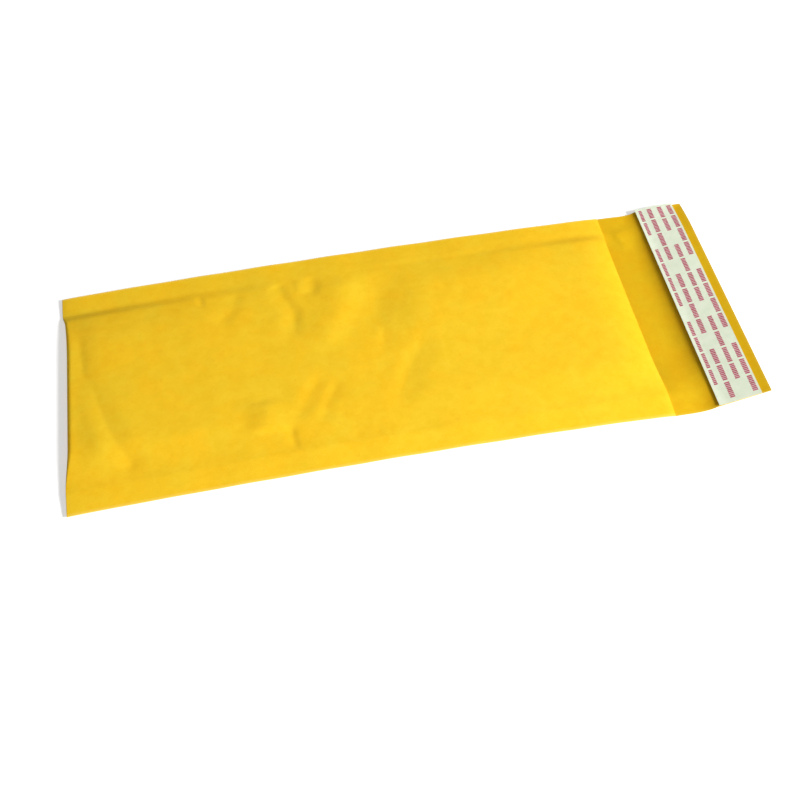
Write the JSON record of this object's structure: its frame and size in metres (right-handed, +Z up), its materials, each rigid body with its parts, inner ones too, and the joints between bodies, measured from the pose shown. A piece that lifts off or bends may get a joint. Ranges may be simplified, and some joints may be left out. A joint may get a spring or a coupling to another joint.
{
  "type": "bubble mailer",
  "caption": "Golden kraft padded envelope with sealed sides, a bubble film lining, an open mouth and a self-seal flap under a white peel-off liner.",
  "frame": {"origin": "on the floor under the middle of the whole mailer, flap included", "axes": "+X from the bottom fold towards the open flap, +Y across the mailer from the picture's near side to its far side, +Z up, out of the front panel"},
  "size_m": [0.29, 0.12, 0.008],
  "materials": {
    "golden_kraft": "satin golden-yellow kraft paper",
    "bubble_film": "clear glossy bubble film",
    "clear_adhesive": "clear sticky strip",
    "liner_paper": "smooth pale mint-white release paper with red dashes"
  },
  "bodies": {
    "root": {"kraft_envelope": "golden_kraft", "bubble_lining": "bubble_film", "adhesive_strip": "clear_adhesive", "release_liner": "liner_paper"}
  },
  "joints": []
}
